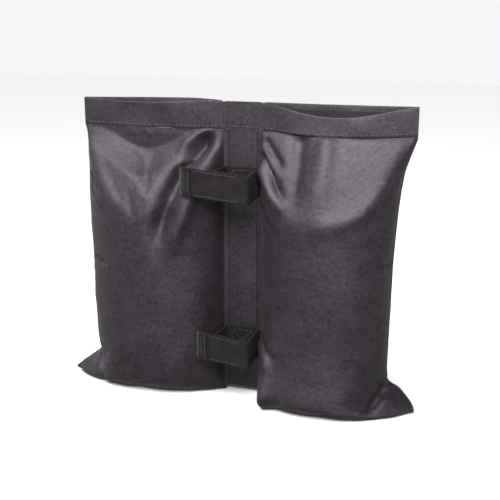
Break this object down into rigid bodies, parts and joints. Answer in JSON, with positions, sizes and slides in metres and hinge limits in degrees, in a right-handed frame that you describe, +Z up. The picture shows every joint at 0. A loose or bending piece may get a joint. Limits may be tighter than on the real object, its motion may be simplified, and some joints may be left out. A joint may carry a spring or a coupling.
{
  "type": "leg weight sandbag",
  "caption": "Black cloth weight bag with two sand-filled pockets joined by a flat web, and two hook-and-loop straps that close round a square stand or canopy leg.",
  "frame": {"origin": "on the floor under the middle of the bag, halfway through its thickness", "axes": "+X to the right across both pockets as seen from the front, -Y towards the front where the straps are, +Z up"},
  "size_m": [0.496, 0.13, 0.409],
  "materials": {
    "pocket_cloth": "coated woven polyester, semi-gloss, fine weave",
    "web_cloth": "coated woven polyester, flat and sewn double",
    "hem_cloth": "coated woven polyester folded double",
    "webbing": "matt woven webbing",
    "loop_tape": "soft brushed loops",
    "hook_tape": "stiff fine hooks",
    "thread": "twisted polyester sewing thread",
    "sand": "dry loose grains"
  },
  "bodies": {
    "web": {"web_front_cloth": "web_cloth", "web_back_cloth": "web_cloth", "web_stitching": "thread", "upper_strap_base": "webbing", "upper_box_stitch": "thread", "lower_strap_base": "webbing", "lower_box_stitch": "thread"},
    "left_pocket": {"left_front_wall": "pocket_cloth", "left_back_wall": "pocket_cloth", "left_sand": "sand", "left_back_hem": "hem_cloth", "left_loop_tape": "loop_tape"},
    "left_mouth_flap": {"left_front_hem": "hem_cloth", "left_hook_tape": "hook_tape", "left_hem_stitching": "thread"},
    "right_pocket": {"right_front_wall": "pocket_cloth", "right_back_wall": "pocket_cloth", "right_sand": "sand", "right_back_hem": "hem_cloth", "right_loop_tape": "loop_tape"},
    "right_mouth_flap": {"right_front_hem": "hem_cloth", "right_hook_tape": "hook_tape", "right_hem_stitching": "thread"},
    "upper_wrap_half": {"upper_strap_wrap": "webbing", "upper_loop_patch": "loop_tape"},
    "upper_tail_half": {"upper_strap_tail": "webbing", "upper_hook_patch": "hook_tape"},
    "lower_wrap_half": {"lower_strap_wrap": "webbing", "lower_loop_patch": "loop_tape"},
    "lower_tail_half": {"lower_strap_tail": "webbing", "lower_hook_patch": "hook_tape"}
  },
  "joints": [
    {"name": "left_pocket_fold", "type": "hinge", "parent": "web", "child": "left_pocket", "pos_m": [-0.026, 0, 0.2045], "axis": [0, 0, -1], "range_deg": [0, 50]},
    {"name": "left_mouth_open", "type": "hinge", "parent": "left_pocket", "child": "left_mouth_flap", "pos_m": [-0.128, -0.00335, 0.3733], "axis": [1, 0, 0], "range_deg": [0, 35]},
    {"name": "right_pocket_fold", "type": "hinge", "parent": "web", "child": "right_pocket", "pos_m": [0.026, 0, 0.2045], "axis": [0, 0, 1], "range_deg": [0, 50]},
    {"name": "right_mouth_open", "type": "hinge", "parent": "right_pocket", "child": "right_mouth_flap", "pos_m": [0.128, -0.00335, 0.3733], "axis": [1, 0, 0], "range_deg": [0, 35]},
    {"name": "upper_tail_peel", "type": "hinge", "parent": "web", "child": "upper_tail_half", "pos_m": [0.02385, -0.05575, 0.304], "axis": [0, 0, 1], "range_deg": [0, 150]},
    {"name": "upper_wrap_open", "type": "hinge", "parent": "web", "child": "upper_wrap_half", "pos_m": [-0.02385, -0.0027, 0.304], "axis": [0, 0, -1], "range_deg": [0, 30]},
    {"name": "lower_tail_peel", "type": "hinge", "parent": "web", "child": "lower_tail_half", "pos_m": [0.02385, -0.05575, 0.079], "axis": [0, 0, 1], "range_deg": [0, 150]},
    {"name": "lower_wrap_open", "type": "hinge", "parent": "web", "child": "lower_wrap_half", "pos_m": [-0.02385, -0.0027, 0.079], "axis": [0, 0, -1], "range_deg": [0, 30]}
  ],
  "couplings": [
    {"joint": "upper_wrap_open", "follows": "upper_tail_peel", "ratio": 0.2},
    {"joint": "lower_wrap_open", "follows": "lower_tail_peel", "ratio": 0.2}
  ]
}
